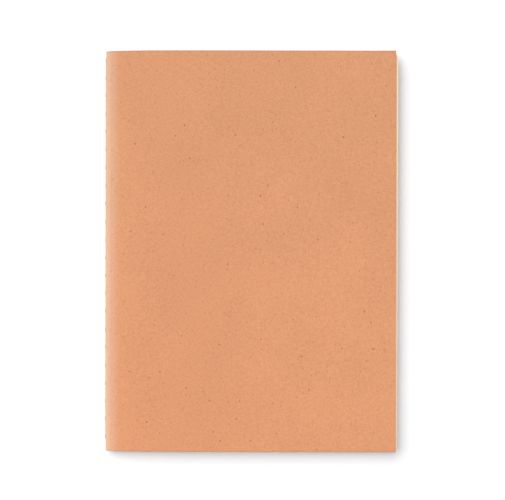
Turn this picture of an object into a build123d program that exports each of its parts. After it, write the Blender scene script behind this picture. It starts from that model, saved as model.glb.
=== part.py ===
"""A thread-sewn pocket notebook: folded sheets of paper nested in one folded kraft card cover.

It lies closed on its back cover. +Z is up, the spine is at -X, the fore edge at +X and the head at +Y.
The origin is the middle of the underside. Each sheet is one piece of paper folded in half, and its two
leaves turn on their own, so a sheet is a front leaf, a back leaf and the fold between them.
"""

import os

from build123d import *

# The cover, folded from one piece of card.
cover_width = 105.0
cover_height = 145.0
card_thickness = 0.30
cover_to_paper = 0.02

# The paper. Leaf 01 is under the front cover, and the last leaf lies on the back cover.
sheet_count = 20
paper_thickness = 0.09
leaf_pitch = 0.11
page_inset = 0.2
page_overhang_head = 0.95
page_overhang_tail = 0.60
fore_edge_rounding = 0.13
head_corner_radius = 3.2
tail_corner_radius = 0.9

# The sewing: a lockstitch through the fold, with one hole for each stitch.
hole_count = 22
hole_pitch = 6.53
hole_radius = 0.45
last_hole_to_tail = 5.0
thread_radius = 0.18
strand_pair_radius = 0.30

# The stretch beside the fold where card and paper bend, before the flat leaves and covers begin.
bend_width = 1.5

# Heights. The two halves of the notebook mirror each other about the middle of the centre spread.
half_block = sheet_count * leaf_pitch
half_thickness = half_block + cover_to_paper + card_thickness
middle = half_thickness
thickness = 2 * half_thickness

# Places along X, from the thread that stands out of the spine to the paper at the fore edge.
thread_standout = 2 * thread_radius
total_width = thread_standout + cover_width + page_overhang_head
spine_x = -total_width / 2 + thread_standout
fold_axis_x = spine_x + half_thickness
flat_start_x = fold_axis_x + bend_width
fore_edge_x = spine_x + cover_width

# The folds of the sheets: the innermost goes round the inner thread, the outermost fills the spine.
outermost_height = half_block - leaf_pitch / 2
innermost_fold_radius = thread_radius + 0.02 + paper_thickness / 2
fold_pitch = (outermost_height - innermost_fold_radius) / (sheet_count - 1)

page_height = cover_height - 2 * page_inset
first_hole_y = -cover_height / 2 + last_hole_to_tail
hole_places = [first_hole_y + hole_pitch * index for index in range(hole_count)]
interlock_x = spine_x + half_thickness / 2

os.makedirs("parts", exist_ok=True)


def leaf_height(number):
    """The middle of a leaf's thickness above the middle of the block, below it for the back leaves."""
    return half_block - leaf_pitch * (number - 0.5)


def overhang(height, at_middle):
    """How far a leaf reaches past the cover: the middle leaves furthest, as the fore edge is a little round."""
    return at_middle * (1 - fore_edge_rounding * (height / half_block) ** 2)


def rectangle_points(left, right_tail, right_head, half_length):
    """The corners of a leaf or cover, whose fore edge may lean a little from tail to head."""
    return [(left, -half_length), (right_tail, -half_length), (right_head, half_length), (left, half_length)]


def flat_piece(label, points, bottom, sheet, corners=()):
    """One flat leaf or cover. Each of its rounded corners is a place and a radius."""
    with BuildPart() as piece:
        with BuildSketch(Plane.XY.offset(bottom)) as outline:
            with BuildLine():
                Polyline(*points, close=True)
            make_face()
            for place, radius in corners:
                fillet(outline.vertices().sort_by_distance((*place, bottom))[0], radius)
        extrude(amount=sheet)
    piece.part.label = label
    export_step(piece.part, f"parts/{label}.step")


def fold_section(radius, height, sheet):
    """The section of one fold: round the spine, then along to the flat leaves, as one bent strip.

    The strip's middle line has the radius at the fold and the height where the leaves begin.
    """
    outside = radius + sheet / 2
    inside = radius - sheet / 2
    top_out = height + sheet / 2
    top_in = height - sheet / 2
    with BuildSketch(Plane.XZ) as section:
        with BuildLine():
            ThreePointArc(
                (fold_axis_x, middle - outside),
                (fold_axis_x - outside, middle),
                (fold_axis_x, middle + outside),
            )
            Polyline(
                (fold_axis_x, middle + outside),
                (flat_start_x, middle + top_out),
                (flat_start_x, middle + top_in),
                (fold_axis_x, middle + inside),
            )
            ThreePointArc(
                (fold_axis_x, middle + inside),
                (fold_axis_x - inside, middle),
                (fold_axis_x, middle - inside),
            )
            Polyline(
                (fold_axis_x, middle - inside),
                (flat_start_x, middle - top_in),
                (flat_start_x, middle - top_out),
                (fold_axis_x, middle - outside),
            )
        make_face()
    return section.sketch


def row_of_circles(at_x, radius):
    """One circle at each stitch hole, ready to be drawn out along X."""
    with BuildSketch(Plane.YZ.offset(at_x)) as row:
        with Locations(*[(place, middle) for place in hole_places]):
            Circle(radius)
    return row.sketch


def folded_piece(label, folds, sheet, length):
    """Folds that lie round each other, with the row of stitch holes through them all."""
    outside_x = spine_x - thread_radius
    with BuildPart() as piece:
        for radius, height in folds:
            extrude(fold_section(radius, height, sheet), amount=length / 2, both=True)
        extrude(row_of_circles(outside_x, hole_radius), amount=fold_axis_x - outside_x, mode=Mode.SUBTRACT)
    piece.part.label = label
    export_step(piece.part, f"parts/{label}.step")


def thread_piece(label, along_x, hole_from_x, hole_to_x):
    """One of the two threads: a run along the fold, and its loops in the holes."""
    run_start = hole_places[0] - strand_pair_radius
    run_end = hole_places[-1] + strand_pair_radius
    with BuildPart() as piece:
        with BuildSketch(Plane.XZ.offset(-run_start)):
            with Locations((along_x, middle)):
                Circle(thread_radius)
        extrude(amount=run_start - run_end)
        extrude(row_of_circles(hole_from_x, strand_pair_radius), amount=hole_to_x - hole_from_x)
    piece.part.label = label
    export_step(piece.part, f"parts/{label}.step")


# The cover: two flat boards and the fold between them, one piece of card on the real notebook.
cover_points = rectangle_points(flat_start_x, fore_edge_x, fore_edge_x, cover_height / 2)
flat_piece("back_cover", cover_points, 0, card_thickness)
flat_piece("front_cover", cover_points, thickness - card_thickness, card_thickness)
cover_fold = half_thickness - card_thickness / 2
folded_piece("cover_spine", [(cover_fold, cover_fold)], card_thickness, cover_height)

# The leaves, from the front cover down to the back cover.
for number in range(1, 2 * sheet_count + 1):
    height = leaf_height(number)
    tail_x = fore_edge_x + overhang(height, page_overhang_tail)
    head_x = fore_edge_x + overhang(height, page_overhang_head)
    leaf_points = rectangle_points(flat_start_x, tail_x, head_x, page_height / 2)
    leaf_corners = [(leaf_points[1], tail_corner_radius), (leaf_points[2], head_corner_radius)]
    bottom = middle + height - paper_thickness / 2
    flat_piece(f"leaf_{number:02d}", leaf_points, bottom, paper_thickness, leaf_corners)

# The folds of the sheets, the innermost first.
page_folds = [
    (innermost_fold_radius + fold_pitch * index, leaf_pitch * (index + 0.5))
    for index in range(sheet_count)
]
folded_piece("page_folds", page_folds, paper_thickness, page_height)

# The two threads meet inside the holes.
thread_piece("outer_thread", spine_x - thread_radius, spine_x - thread_radius, interlock_x)
thread_piece("inner_thread", fold_axis_x, interlock_x, fold_axis_x)
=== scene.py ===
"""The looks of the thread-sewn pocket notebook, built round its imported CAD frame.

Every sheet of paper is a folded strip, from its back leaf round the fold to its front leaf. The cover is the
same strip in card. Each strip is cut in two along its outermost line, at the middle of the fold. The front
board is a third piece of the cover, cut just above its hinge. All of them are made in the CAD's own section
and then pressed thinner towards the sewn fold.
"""

import math

import bpy
import numpy as np
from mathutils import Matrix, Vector


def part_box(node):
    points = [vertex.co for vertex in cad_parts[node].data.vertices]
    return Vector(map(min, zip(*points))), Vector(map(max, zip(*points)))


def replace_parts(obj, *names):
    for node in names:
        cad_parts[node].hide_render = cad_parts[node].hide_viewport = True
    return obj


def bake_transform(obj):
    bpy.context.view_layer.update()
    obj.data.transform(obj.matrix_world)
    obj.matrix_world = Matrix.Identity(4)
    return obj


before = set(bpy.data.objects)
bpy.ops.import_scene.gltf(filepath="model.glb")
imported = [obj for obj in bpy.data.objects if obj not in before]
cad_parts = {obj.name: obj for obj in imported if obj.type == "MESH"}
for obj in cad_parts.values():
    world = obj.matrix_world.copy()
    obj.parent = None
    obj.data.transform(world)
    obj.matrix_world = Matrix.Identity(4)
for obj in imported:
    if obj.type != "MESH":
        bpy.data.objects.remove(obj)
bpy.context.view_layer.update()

MM = 0.001
rng = np.random.default_rng(7)

# ---------------------------------------------------------------- places from the frame
board_low, board_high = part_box("front_cover")
spine_low, spine_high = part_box("cover_spine")
page_low, page_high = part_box("leaf_01")
thread_low, thread_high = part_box("outer_thread")

spine_x = spine_low.x
flat_start_x = board_low.x
fore_edge_x = board_high.x
half_length = board_high.y
page_half_length = page_high.y
thickness = board_high.z
middle = thickness / 2
card_thickness = board_high.z - board_low.z
paper_thickness = page_high.z - page_low.z
fold_x = spine_x + middle
thread_radius = (spine_x - thread_low.x) / 2
sheet_count = sum(name.startswith("leaf_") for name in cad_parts) // 2

# ---------------------------------------------------------------- sewing
hole_count = 22
hole_pitch = 6.53 * MM
strand_pair_radius = 0.30 * MM
hole_unevenness = 0.22
hole_y = np.arange(hole_count) * hole_pitch + thread_low.y + strand_pair_radius
hole_y = hole_y + rng.uniform(-hole_unevenness, hole_unevenness, hole_count) * MM
hole_radius = 0.24 * MM
hole_length_share = 0.75
lip_height = 0.22 * MM
lip_radius = 0.36 * MM
lip_width = 0.24 * MM
torn_and_shaded_radius = 1.5 * lip_radius
hole_depth = 1.3 * MM

# ---------------------------------------------------------------- how the block is pressed
fold_press = 0.58
near_reach = 4.5 * MM
far_reach = 20 * MM
near_share = 0.30


def press(x):
    """How thin the block is at x, as a share of its full thickness: tight at the sewn fold, full beyond."""
    beyond = np.maximum(np.asarray(x) - fold_x, 0)
    far_share = 1 - fold_press - near_share
    return 1 - near_share * np.exp(-beyond / near_reach) - far_share * np.exp(-beyond / far_reach)


def smooth(t):
    """A soft step from 0 to 1."""
    t = np.clip(t, 0, 1)
    return t * t * (3 - 2 * t)


end_draw = 0.22 * MM
end_draw_reach = 9 * MM


def drawn_in(x, y):
    """Places along Y once the sewing has drawn the ends of the fold in a little."""
    share = end_draw / half_length * np.exp(-np.maximum(x - spine_x, 0) / end_draw_reach)
    return y * (1 - share)


# ---------------------------------------------------------------- meshes
def strip_mesh(name, x, z, y, sheet, push=None, part=slice(None)):
    """A closed strip of paper or card along the section (x, z), one row of points to each y.

    x and z hold one column for each y. push moves both faces along the section's normal. part picks the steps
    of the section that this mesh has.
    """
    y = np.broadcast_to(y, x.shape)
    along_x = np.gradient(x[:, 0])
    along_z = np.gradient(z[:, 0])
    length = np.hypot(along_x, along_z)
    normal_x = (along_z / length)[:, None]
    normal_z = (-along_x / length)[:, None]
    half = (sheet * press(x[:, 0]) / 2)[:, None]
    push = np.zeros_like(x) if push is None else push
    faces_at = []
    for side in (-1, 1):
        reach = push + side * half
        faces_at.append(np.stack([x - reach * normal_x, y, z - reach * normal_z], -1)[part])
    steps, rows = faces_at[0].shape[:2]
    flat = np.concatenate(faces_at).reshape(-1, 3)
    points = flat.copy()
    points[:, 1] = drawn_in(flat[:, 0], flat[:, 1])
    index = np.arange(2 * steps * rows).reshape(2, steps, rows)

    def quads(a, b, c, d):
        return np.stack([a, b, c, d], -1).reshape(-1, 4)

    inner, outer = index
    faces = np.concatenate([
        quads(inner[:-1, :-1], inner[1:, :-1], inner[1:, 1:], inner[:-1, 1:]),
        quads(outer[:-1, 1:], outer[1:, 1:], outer[1:, :-1], outer[:-1, :-1]),
        quads(inner[1:, 0], inner[:-1, 0], outer[:-1, 0], outer[1:, 0]),
        quads(inner[:-1, -1], inner[1:, -1], outer[1:, -1], outer[:-1, -1]),
        quads(inner[0, :-1], inner[0, 1:], outer[0, 1:], outer[0, :-1]),
        quads(inner[-1, 1:], inner[-1, :-1], outer[-1, :-1], outer[-1, 1:]),
    ])
    return mesh_object(name, points, faces, flat)


def mesh_object(name, points, faces, flat, sharp_angle=40):
    """A new smooth-shaded object, which also stores each point's place before the ends were drawn in."""
    mesh = bpy.data.meshes.new(name)
    mesh.from_pydata(points.tolist(), [], faces.tolist())
    mesh.validate()
    rest = mesh.attributes.new("rest", "FLOAT_VECTOR", "POINT")
    rest.data.foreach_set("vector", flat.astype(np.float32).ravel())
    mesh.shade_smooth()
    mesh.set_sharp_from_angle(angle=math.radians(sharp_angle))
    piece = bpy.data.objects.new(name, mesh)
    bpy.context.scene.collection.objects.link(piece)
    return piece


def blend_back_half(piece):
    """Bakes the back half's transform into its mesh."""
    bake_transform(piece)


def blend_front_half(piece):
    """Bakes the front half's transform into its mesh."""
    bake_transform(piece)


def flat_heights(x, radius, height):
    """Height above the middle of one half of a folded strip: its fold's radius at the fold, then its own."""
    share = np.clip((x - fold_x) / (flat_start_x - fold_x), 0, 1)
    return radius + (height - radius) * share


def pressed(x, height):
    """The real z of a point that the CAD section holds at that height above the middle."""
    return middle + height * press(x)


def rows_along(half, near_end, spacing):
    """Places along Y, closer together near both ends, where the corners are rounded."""
    ends = half - near_end * np.linspace(0, 1, 9) ** 1.5
    inside = np.linspace(-half + near_end, half - near_end, int(2 * half / spacing))
    return np.unique(np.concatenate([-ends, inside, ends]))


# Steps along a strip's section. Those of the flat parts bunch up towards the fold.
sheet_fold_steps = 17
sheet_flat_steps = 22
cover_fold_steps = 57
cover_flat_steps = 26
bunching = 2.2

# ---------------------------------------------------------------- paper
head_corner = 3.2 * MM
tail_corner = 0.9 * MM
fore_edge_unevenness = 0.05 * MM


def leaf_edges(number):
    """Where the leaf's fore edge is at the tail and at the head, from its CAD node."""
    points = [v.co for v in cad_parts[f"leaf_{number:02d}"].data.vertices]
    return [max(p.x for p in points if p.y * side > 0) for side in (-1, 1)]


def rounded_corner(y, end, radius):
    """How far a rounded corner at that end takes the fore edge back."""
    into = np.clip((radius - np.abs(end - y)) / radius, 0, 1)
    return radius * (1 - np.sqrt(1 - into ** 2))


def folded_sheet(number):
    """One sheet of paper, whose front leaf has that number, as two halves that meet along its fold."""
    front = f"leaf_{number:02d}"
    back = f"leaf_{2 * sheet_count + 1 - number:02d}"
    low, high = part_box(front)
    height = (low.z + high.z) / 2 - middle
    inner_radius = thread_radius + paper_thickness / 2
    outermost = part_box("leaf_01")[0].z + paper_thickness / 2 - middle
    radius = inner_radius + (outermost - inner_radius) * (sheet_count - number) / (sheet_count - 1)
    y = rows_along(page_half_length, 3 * MM, 6 * MM)
    tail, head = leaf_edges(number)
    edge = tail + (head - tail) * (y + page_half_length) / (2 * page_half_length)
    edge = edge + fore_edge_unevenness * rng.uniform(-1, 1)
    edge = edge - rounded_corner(y, page_half_length, head_corner)
    edge = edge - rounded_corner(y, -page_half_length, tail_corner)

    turn = np.linspace(-math.pi / 2, math.pi / 2, sheet_fold_steps)
    arc_x = np.repeat((fold_x - radius * np.cos(turn))[:, None], len(y), 1)
    arc_z = np.repeat((radius * np.sin(turn))[:, None], len(y), 1)
    share = np.linspace(0, 1, sheet_flat_steps)[1:, None] ** bunching
    flat_x = fold_x + share * (edge[None, :] - fold_x)
    flat_z = flat_heights(flat_x, radius, height)
    x = np.concatenate([flat_x[::-1], arc_x, flat_x])
    z = pressed(x, np.concatenate([-flat_z[::-1], arc_z, flat_z]))
    fold = len(flat_x) + len(turn) // 2
    back_half = strip_mesh(f"sheet_{number:02d}_back", x, z, y, paper_thickness, part=slice(None, fold + 1))
    blend_back_half(back_half)
    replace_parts(back_half, back, "page_folds")
    front_half = strip_mesh(f"sheet_{number:02d}_front", x, z, y, paper_thickness, part=slice(fold, None))
    blend_front_half(front_half)
    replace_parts(front_half, front, "page_folds")
    return back_half, front_half


# ---------------------------------------------------------------- cover
hinge_x = flat_start_x
hinge_reach = 1.0 * MM
seam_x = hinge_x - hinge_reach
cover_radius = middle - card_thickness / 2
board_lift = 0.07
board_wave = 0.04


def card_wave(x, y):
    """A slight waviness of the front board, which lies a little proud of the paper."""
    ramp = smooth((x - flat_start_x) / (25 * MM))
    wave = np.sin(x / (17 * MM) + 0.6) * np.cos(y / (29 * MM) + 0.4)
    wave = wave + 0.6 * np.sin(x / (41 * MM) + y / (23 * MM))
    return ramp * (board_lift + board_wave * wave) * MM


def stitch_relief(y, around):
    """How the card stands out or dips in round the stitch holes, around metres from the fold's middle line.

    Also returns a mask from 0 to 1 round each hole, where the needle has torn the card and where painted
    shade darkens the hole and its lip.
    """
    distance = np.full((len(around), len(y)), np.inf)
    for place in hole_y:
        distance = np.minimum(distance, np.hypot((y - place)[None, :] * hole_length_share, around[:, None]))
    push = lip_height * np.exp(-(((distance - lip_radius) / lip_width) ** 2))
    push -= hole_depth * smooth(1 - distance / hole_radius)
    return push, np.exp(-((distance / torn_and_shaded_radius) ** 4))


def spine_rows():
    """Places along Y, close together at each stitch hole."""
    near_reach_y = 1.1
    clear_of_hole = 1.6
    near = np.linspace(-near_reach_y, near_reach_y, 23) * MM
    between = np.linspace(clear_of_hole, hole_pitch / MM - clear_of_hole, 4) * MM
    places = [hole_y[:, None] + near[None, :], hole_y[:, None] + between[None, :]]
    ends = np.array([-1, 1]) * half_length
    before = np.linspace(-half_length + 0.4 * MM, hole_y[0] - clear_of_hole * MM, 5)
    rows = np.unique(np.concatenate([p.ravel() for p in places] + [ends, before]))
    return rows[np.abs(rows) <= half_length]


def back_and_spine():
    """The back board, the fold of the cover with its stitch holes, and the first of the front board."""
    y = spine_rows()
    turn = np.sinh(np.linspace(-2, 2, cover_fold_steps)) / math.sinh(2) * math.pi / 2
    arc_x = fold_x - cover_radius * np.cos(turn)
    arc_z = cover_radius * np.sin(turn)
    back_x = fold_x + (np.linspace(0, 1, cover_flat_steps)[1:] ** bunching) * (fore_edge_x - fold_x)
    front_x = np.linspace(fold_x, seam_x, 5)[1:]
    x = np.concatenate([back_x[::-1], arc_x, front_x])
    height = np.concatenate([np.full(len(back_x), -cover_radius), arc_z, np.full(len(front_x), cover_radius)])
    z = pressed(x, height)
    steps = np.hypot(np.diff(x), np.diff(z))
    around = np.concatenate([[0], np.cumsum(steps)])
    around = around - np.interp(0, arc_z, around[len(back_x) : len(back_x) + len(arc_z)])
    x = np.repeat(x[:, None], len(y), 1)
    z = np.repeat(z[:, None], len(y), 1)
    push, torn_and_shaded = stitch_relief(y, around)
    fold = len(back_x) + len(turn) // 2
    halves = []
    for name, part in (("cover_back", slice(None, fold + 1)), ("cover_spine_front", slice(fold, None))):
        piece = strip_mesh(name, x, z, y, card_thickness, push, part)
        # The mask for the torn fibres and the painted shade round each stitch hole.
        pierced_and_shaded = piece.data.attributes.new("pierced_and_shaded", "FLOAT", "POINT")
        pierced_and_shaded.data.foreach_set("value", np.tile(torn_and_shaded[part].ravel(), 2).astype(np.float32))
        halves.append(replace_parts(piece, "cover_spine"))
    blend_back_half(halves[0])
    blend_front_half(halves[1])
    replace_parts(halves[0], "back_cover")
    return halves


def front_board():
    """The front board, which bends up from the rest of the cover at its hinge."""
    y = rows_along(half_length, 3 * MM, 4 * MM)
    bend = np.linspace(seam_x, hinge_x + hinge_reach, 13)
    rise = np.linspace(hinge_x + hinge_reach, fold_x + 12 * MM, 22)[1:]
    flat = np.linspace(fold_x + 12 * MM, fore_edge_x, cover_flat_steps)[1:]
    x = np.repeat(np.concatenate([bend, rise, flat])[:, None], len(y), 1)
    z = pressed(x, cover_radius) + card_wave(x, y[None, :])
    piece = strip_mesh("cover_front", x, z, y, card_thickness)
    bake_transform(piece)
    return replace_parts(piece, "front_cover")


# ---------------------------------------------------------------- thread
strand_radius = 0.105 * MM
twist_pitch = 1.1 * MM
steps_per_stitch = 160


def thread_mesh(name, path):
    """A two-ply thread along a path: two strands wound round each other."""
    steps = np.linalg.norm(np.diff(path, axis=0), axis=1)
    along = np.concatenate([[0], np.cumsum(steps)])
    spaced = np.linspace(0, along[-1], int(along[-1] / (0.09 * MM)))
    line = np.stack([np.interp(spaced, along, path[:, axis]) for axis in range(3)], -1)
    tangent = np.gradient(line, axis=0)
    tangent /= np.linalg.norm(tangent, axis=1)[:, None]
    side = np.cross(tangent, [0, 0, 1])
    side /= np.linalg.norm(side, axis=1)[:, None]
    up = np.cross(side, tangent)
    sides = 7
    ring = np.linspace(0, 2 * math.pi, sides, endpoint=False)
    points = []
    faces = []
    for strand in (0, math.pi):
        phase = 2 * math.pi * spaced / twist_pitch + strand
        centre = line + 0.8 * strand_radius * (np.cos(phase)[:, None] * side + np.sin(phase)[:, None] * up)
        rings = centre[:, None] + strand_radius * (
            np.cos(ring)[None, :, None] * side[:, None] + np.sin(ring)[None, :, None] * up[:, None]
        )
        start = sum(len(p) for p in points)
        points.append(rings.reshape(-1, 3))
        index = start + np.arange(len(line) * sides).reshape(len(line), sides)
        after = np.roll(index, -1, axis=1)
        faces += np.stack([index[:-1], after[:-1], after[1:], index[1:]], -1).reshape(-1, 4).tolist()
        faces += [index[0][::-1].tolist(), index[-1].tolist()]
    mesh = bpy.data.meshes.new(name)
    mesh.from_pydata(np.concatenate(points).tolist(), [], faces)
    mesh.shade_smooth()
    piece = bpy.data.objects.new(name, mesh)
    bpy.context.scene.collection.objects.link(piece)
    return piece


def sewn_path(run_x, crest_x, dip_x):
    """A thread's path along the fold: over the card between holes, over each hole's lip, and down into it."""
    y = np.linspace(hole_y[0], hole_y[-1], 1 + steps_per_stitch * (hole_count - 1))
    nearest = np.abs(y[:, None] - hole_y[None, :]).min(1)
    over_lip = np.exp(-(((nearest - lip_radius) / (1.3 * lip_width)) ** 2))
    x = run_x + (crest_x - run_x) * over_lip
    x = x + (dip_x - x) * smooth(1 - nearest / (0.9 * hole_radius)) ** 0.7
    return np.stack([x, y, np.full_like(y, middle)], -1)


def threads():
    """The needle thread outside the fold and the bobbin thread in the centre spread.
    """
    outside_x = spine_x - 0.3 * thread_radius
    inside_x = fold_x + 0.2 * thread_radius
    outside_path = sewn_path(outside_x, outside_x - 0.6 * lip_height, spine_x + hole_depth)
    inside_path = sewn_path(inside_x, inside_x, fold_x - hole_depth)
    outside = thread_mesh("thread_outside", outside_path)
    inside = thread_mesh("thread_inside", inside_path)
    for piece, node in ((outside, "outer_thread"), (inside, "inner_thread")):
        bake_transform(piece)
        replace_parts(piece, node)
    return outside, inside


# ---------------------------------------------------------------- materials
def linear(red, green, blue):
    """An 8-bit screen colour as the linear colour that a shader takes."""
    channels = []
    for value in (red, green, blue):
        share = value / 255
        channels.append(share / 12.92 if share <= 0.04045 else ((share + 0.055) / 1.055) ** 2.4)
    return (*channels, 1.0)


class Shader:
    """A material with a few short ways to add and join its nodes."""

    def __init__(self, name, roughness):
        self.material = bpy.data.materials.new(name)
        self.material.use_nodes = True
        self.tree = self.material.node_tree
        self.surface = self.tree.nodes["Principled BSDF"]
        self.surface.inputs["Roughness"].default_value = roughness

    def node(self, kind, settings=None, **inputs):
        """A new node. Settings are its own properties, inputs are values or sockets for its inputs."""
        made = self.tree.nodes.new(f"ShaderNode{kind}")
        for key, value in (settings or {}).items():
            setattr(made, key, value)
        for key, value in inputs.items():
            self.feed(made.inputs[key.replace("_", " ")], value)
        return made

    def feed(self, socket, value):
        """Links a socket to another one, or sets its value."""
        if isinstance(value, bpy.types.NodeSocket):
            self.tree.links.new(value, socket)
        else:
            socket.default_value = value

    def place(self):
        """Where the surface point is at rest, in millimetres."""
        rest = self.node("Attribute", {"attribute_name": "rest"})
        scaled = self.node("VectorMath", {"operation": "SCALE"}, Scale=1000.0)
        self.feed(scaled.inputs[0], rest.outputs["Vector"])
        return scaled.outputs["Vector"]

    def stretched(self, vector, scale, turn=0.0):
        """The place, turned in the card's plane and scaled along each axis."""
        mapping = self.node("Mapping", {"vector_type": "POINT"}, Vector=vector)
        mapping.inputs["Rotation"].default_value = (0, 0, math.radians(turn))
        mapping.inputs["Scale"].default_value = scale
        return mapping.outputs["Vector"]

    def noise(self, vector, scale, detail=2.0, roughness=0.5):
        """Soft noise from 0 to 1. Scale is features per millimetre."""
        made = self.node("TexNoise", Vector=vector, Scale=scale, Detail=detail, Roughness=roughness)
        return made.outputs["Fac"]

    def ramp(self, fac, stops):
        """Colours or greys along a value: stops are (place, colour)."""
        made = self.node("ValToRGB", Fac=fac)
        elements = made.color_ramp.elements
        while len(elements) < len(stops):
            elements.new(0.5)
        for element, (place, colour) in zip(elements, stops):
            element.position = place
            element.color = colour
        return made.outputs["Color"]

    def step(self, value, low, high):
        """0 below low and 1 above high, smooth between."""
        made = self.node("MapRange", {"interpolation_type": "SMOOTHSTEP"}, Value=value)
        made.inputs["From Min"].default_value = low
        made.inputs["From Max"].default_value = high
        return made.outputs["Result"]

    def math(self, operation, first, second):
        """One sum of two values."""
        made = self.node("Math", {"operation": operation})
        self.feed(made.inputs[0], first)
        self.feed(made.inputs[1], second)
        return made.outputs["Value"]

    def mix(self, share, first, second, blend="MIX"):
        """Two colours mixed."""
        made = self.node("Mix", {"data_type": "RGBA", "blend_type": blend})
        self.feed(made.inputs[0], share)
        self.feed(made.inputs[6], first)
        self.feed(made.inputs[7], second)
        return made.outputs[2]

    def relief(self, height, depth, strength=1.0):
        """Bump of that depth in metres where the height goes from 0 to 1."""
        made = self.node("Bump", Height=height, Distance=depth, Strength=strength)
        self.feed(self.surface.inputs["Normal"], made.outputs["Normal"])


def flecks(shader, vector, cell, size, share, turn, stretch):
    """Scattered specks, as a mask: one cell in so many holds a speck of that size, both in millimetres."""
    at = shader.stretched(vector, (1 / cell, 1 / (cell * stretch), 1 / cell), turn)
    ragged = shader.node("TexNoise", Vector=vector, Scale=2.5, Detail=1.0)
    shifted = shader.node("VectorMath", {"operation": "MULTIPLY_ADD"})
    shader.feed(shifted.inputs[0], ragged.outputs["Color"])
    shifted.inputs[1].default_value = (0.12, 0.12, 0.0)
    shader.feed(shifted.inputs[2], at)
    settings = {"voronoi_dimensions": "2D", "feature": "F1"}
    cells = shader.node("TexVoronoi", settings, Vector=shifted.outputs[0])
    cells.inputs["Scale"].default_value = 1.0
    inside = shader.step(cells.outputs["Distance"], size / cell, 0.35 * size / cell)
    chosen = shader.node("SeparateColor")
    shader.feed(chosen.inputs[0], cells.outputs["Color"])
    few = shader.step(chosen.outputs[0], 1 - share, 1 - 0.4 * share)
    return shader.math("MULTIPLY", inside, few)


def kraft_material():
    """Kraft card: mottled pulp, long fibres, dark flecks, paler along the fold (rubbed wear and a painted
    highlight), and painted shade at the stitch holes and along the head and tail edges.
    """
    shader = Shader("kraft card", roughness=0.62)
    place = shader.place()
    pink = linear(208, 139, 99)
    gold = linear(207, 142, 95)
    pulp = shader.ramp(shader.noise(place, 0.75, 3.0, 0.6), [(0.36, gold), (0.64, pink)])
    cloudy = [(0.3, (0.97, 0.97, 0.97, 1)), (0.7, (1.03, 1.03, 1.03, 1))]
    clouds = shader.ramp(shader.noise(place, 0.045, 2.0), cloudy)
    colour = shader.mix(1.0, pulp, clouds, "MULTIPLY")

    # Fibres that run two ways.
    fibre = shader.noise(shader.stretched(place, (3.2, 0.9, 3.2), 20), 1.0, 3.0, 0.65)
    across = shader.noise(shader.stretched(place, (0.9, 3.4, 3.2), -35), 1.0, 3.0, 0.65)
    strands = shader.math("ADD", fibre, across)
    fine = [(0.32, (0.88, 0.775, 0.675, 1)), (0.68, (1.09, 1.205, 1.315, 1))]
    tone = shader.ramp(shader.math("MULTIPLY", strands, 0.5), fine)
    colour = shader.mix(1.0, colour, tone, "MULTIPLY")

    # Flecks of bark, then paler card along the fold: partly rubbed wear, partly a painted highlight where the
    # fold's slope catches the light.
    faint = flecks(shader, place, 1.7, 0.34, 0.26, 15, 1.5)
    colour = shader.mix(shader.math("MULTIPLY", faint, 0.42), colour, linear(170, 102, 62))
    dark = flecks(shader, place, 4.2, 0.36, 0.13, -40, 1.3)
    colour = shader.mix(shader.math("MULTIPLY", dark, 0.7), colour, linear(128, 76, 50))
    parts = shader.node("SeparateXYZ", Vector=place)
    rubbed_and_sheen = shader.step(parts.outputs["X"], spine_x / MM + 6.0, spine_x / MM - 1.5)
    colour = shader.mix(shader.math("MULTIPLY", rubbed_and_sheen, 0.5), colour, linear(218, 200, 180))

    # A slow change of tone across the board, which is darkest at the head and beside the spine.
    tail_side = shader.step(parts.outputs["Y"], half_length / MM, -half_length / MM)
    paler = shader.mix(tail_side, (0.967, 0.977, 0.970, 1), (1.028, 1.015, 1.005, 1))
    colour = shader.mix(1.0, colour, paler, "MULTIPLY")
    fore_side = shader.step(parts.outputs["X"], spine_x / MM, fore_edge_x / MM)
    cooler = shader.mix(fore_side, (0.994, 0.984, 0.974, 1), (0.998, 1.016, 1.026, 1))
    colour = shader.mix(1.0, colour, cooler, "MULTIPLY")

    # Torn fibres at the stitch holes, darkened further as painted shade in and round each hole, and painted
    # shade along the cut edges at the head and tail.
    pierced_and_shaded = shader.node("Attribute", {"attribute_name": "pierced_and_shaded"}).outputs["Fac"]
    colour = shader.mix(shader.math("MULTIPLY", pierced_and_shaded, 0.75), colour, linear(150, 124, 104))
    from_middle = shader.math("ABSOLUTE", parts.outputs["Y"], 0.0)
    # Painted shade: a darker, greyer band on the card along the head and tail edges.
    edge_shade = shader.step(from_middle, half_length / MM - 0.55, half_length / MM - 0.15)
    colour = shader.mix(shader.math("MULTIPLY", edge_shade, 0.5), colour, linear(170, 128, 112))
    shader.feed(shader.surface.inputs["Base Color"], colour)
    shader.surface.inputs["Specular IOR Level"].default_value = 0.4
    shader.relief(strands, 0.02 * MM, 0.25)
    return shader.material


def paper_material():
    """Uncoated cream paper, a little browner along the fore edge."""
    shader = Shader("cream paper", roughness=0.8)
    place = shader.place()
    tooth = shader.noise(place, 3.0, 3.0, 0.6)
    colour = shader.ramp(tooth, [(0.3, linear(232, 208, 180)), (0.7, linear(242, 219, 192))])
    along = shader.node("SeparateXYZ", Vector=place).outputs["X"]
    browner = shader.step(along, fore_edge_x / MM - 0.6, fore_edge_x / MM + 0.4)
    colour = shader.mix(shader.math("MULTIPLY", browner, 0.5), colour, linear(238, 200, 156))
    shader.feed(shader.surface.inputs["Base Color"], colour)
    shader.surface.inputs["Specular IOR Level"].default_value = 0.3
    shader.relief(tooth, 0.01 * MM, 0.4)
    return shader.material


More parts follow.
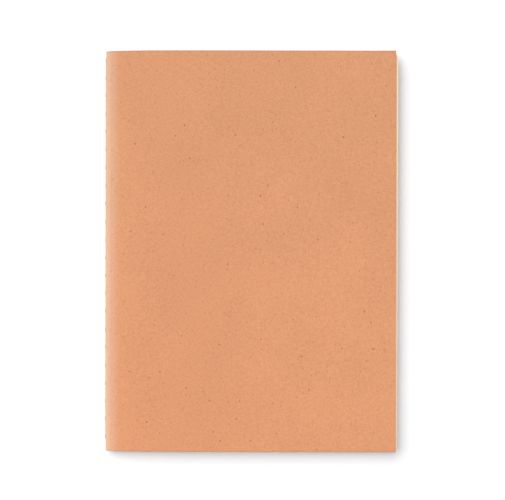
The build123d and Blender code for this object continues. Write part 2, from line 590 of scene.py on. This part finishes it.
def thread_material():
    """Natural, slightly waxed sewing thread."""
    shader = Shader("natural thread", roughness=0.7)
    place = shader.node("TexCoord").outputs["Object"]
    fuzz = shader.noise(shader.stretched(place, (9000, 1500, 9000)), 1.0, 2.0)
    colour = shader.ramp(fuzz, [(0.3, linear(222, 196, 174)), (0.7, linear(244, 226, 208))])
    shader.feed(shader.surface.inputs["Base Color"], colour)
    shader.relief(fuzz, 0.02 * MM, 0.6)
    return shader.material


def floor_material():
    """The plain white table."""
    shader = Shader("white table", roughness=0.9)
    shader.surface.inputs["Base Color"].default_value = (0.9, 0.9, 0.9, 1)
    shader.surface.inputs["Specular IOR Level"].default_value = 0.0
    return shader.material


# ---------------------------------------------------------------- the room
light_energy = 3.40
light_width = math.radians(74)
light_elevation = math.radians(56)
light_around = math.radians(135)
room_colour = (0.94, 0.98, 1.06, 1)
room_strength = 0.32
floor_half = 3.0

view_width = 182.2 * MM
camera_distance = 400 * MM
camera_x = 0.47 * MM
camera_y = 0.46 * MM
camera_turn = 0.10


def add_camera():
    """Straight above the closed notebook."""
    data = bpy.data.cameras.new("camera")
    data.sensor_width = 36
    data.lens = data.sensor_width * camera_distance / view_width
    data.clip_start = 0.01
    data.clip_end = 20
    camera = bpy.data.objects.new("camera", data)
    camera.location = (camera_x, camera_y, thickness + camera_distance)
    camera.rotation_euler = (0, 0, math.radians(camera_turn))
    bpy.context.scene.collection.objects.link(camera)
    bpy.context.scene.camera = camera


def add_floor(material):
    """A wide plain floor at the height the notebook lies on."""
    corners = [(floor_half * x, floor_half * y, 0) for x, y in ((-1, -1), (1, -1), (1, 1), (-1, 1))]
    mesh = bpy.data.meshes.new("floor")
    mesh.from_pydata(corners, [], [(0, 1, 2, 3)])
    floor = bpy.data.objects.new("floor", mesh)
    floor.data.materials.append(material)
    bpy.context.scene.collection.objects.link(floor)


def add_light():
    """A broad soft light from the head and the spine, in a white room."""
    data = bpy.data.lights.new("soft light", "SUN")
    data.energy = light_energy
    data.angle = light_width
    light = bpy.data.objects.new("soft light", data)
    level = math.cos(light_elevation)
    across = math.cos(light_around) * level
    ahead = math.sin(light_around) * level
    toward = Vector((across, ahead, math.sin(light_elevation)))
    light.rotation_euler = toward.to_track_quat("Z", "Y").to_euler()
    bpy.context.scene.collection.objects.link(light)
    world = bpy.data.worlds.new("white room")
    world.use_nodes = True
    background = world.node_tree.nodes["Background"]
    background.inputs["Color"].default_value = room_colour
    background.inputs["Strength"].default_value = room_strength
    bpy.context.scene.world = world


# ---------------------------------------------------------------- making it
add_camera()
add_floor(floor_material())
add_light()
bpy.context.scene.view_settings.view_transform = "Standard"

paper = paper_material()
for number in range(1, sheet_count + 1):
    for half_sheet in folded_sheet(number):
        half_sheet.data.materials.append(paper)

kraft = kraft_material()
for cover_part in (*back_and_spine(), front_board()):
    cover_part.data.materials.append(kraft)

thread = thread_material()
for sewn_piece in threads():
    sewn_piece.data.materials.append(thread)
